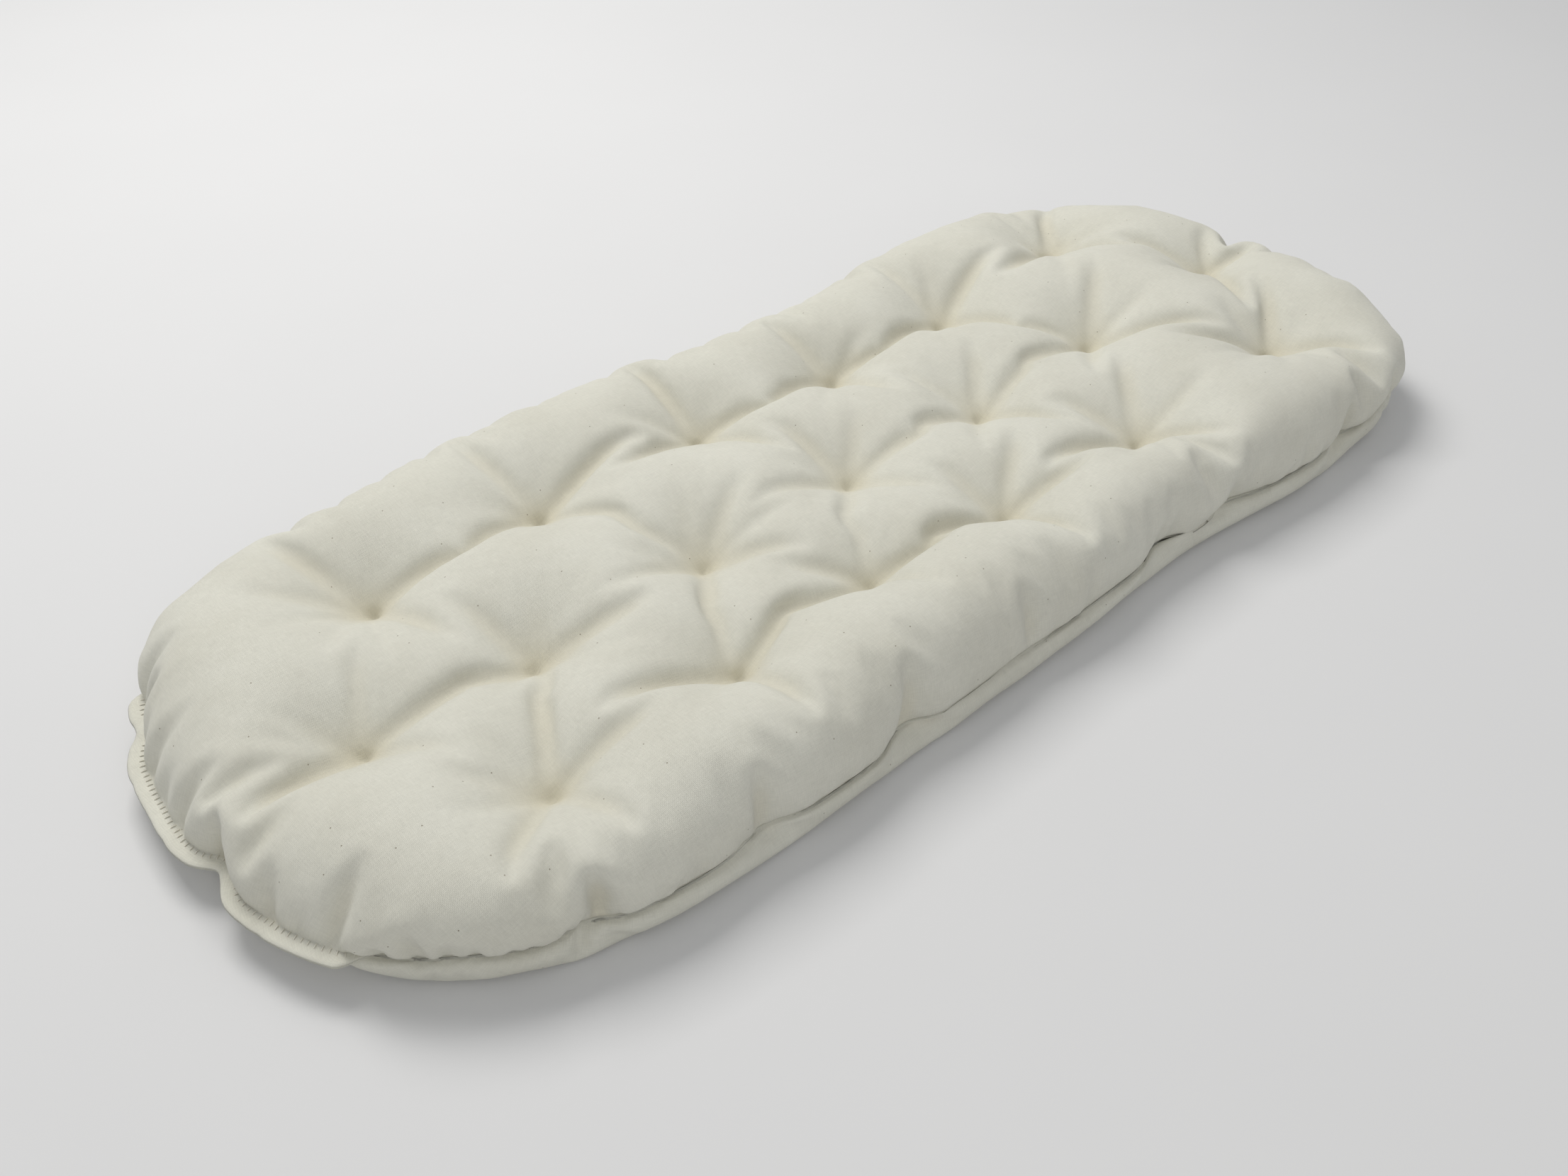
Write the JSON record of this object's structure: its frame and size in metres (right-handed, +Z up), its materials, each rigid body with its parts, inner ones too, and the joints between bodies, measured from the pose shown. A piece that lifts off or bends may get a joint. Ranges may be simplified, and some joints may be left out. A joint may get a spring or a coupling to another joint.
{
  "type": "futon mattress",
  "caption": "Thin oval-ended futon mattress for a Moses basket: cotton casing over cotton batting, tied through with deep tufts, with a hand-closed lip at the filling end.",
  "frame": {"origin": "middle of the underside, at floor level", "axes": "+X along the mattress towards the fully sewn end, so the hand-closed lip is at -X; +Y across it; +Z up out of the tufted face"},
  "size_m": [0.7327, 0.3174, 0.0597],
  "materials": {
    "casing_cotton": "natural unbleached plain-weave cotton, matte, with sparse dark seed flecks",
    "cotton_batting": "carded cotton batting, matte and fibrous",
    "cotton_twine": "twisted cotton twine",
    "sewing_thread": "spun cotton sewing thread"
  },
  "bodies": {
    "root": {"top_panel": "casing_cotton", "bottom_panel": "casing_cotton", "top_batt": "cotton_batting", "core_batt": "cotton_batting", "bottom_batt": "cotton_batting", "side_seam_thread": "sewing_thread", "closing_seam_thread": "sewing_thread", "tuft_tie_01": "cotton_twine", "tuft_tie_02": "cotton_twine", "tuft_tie_03": "cotton_twine", "tuft_tie_04": "cotton_twine", "tuft_tie_05": "cotton_twine", "tuft_tie_06": "cotton_twine", "tuft_tie_07": "cotton_twine", "tuft_tie_08": "cotton_twine", "tuft_tie_09": "cotton_twine", "tuft_tie_10": "cotton_twine", "tuft_tie_11": "cotton_twine", "tuft_tie_12": "cotton_twine", "tuft_tie_13": "cotton_twine", "tuft_tie_14": "cotton_twine", "tuft_tie_15": "cotton_twine", "tuft_tie_16": "cotton_twine", "tuft_tie_17": "cotton_twine", "tuft_tie_18": "cotton_twine", "tuft_tie_19": "cotton_twine"}
  },
  "joints": []
}
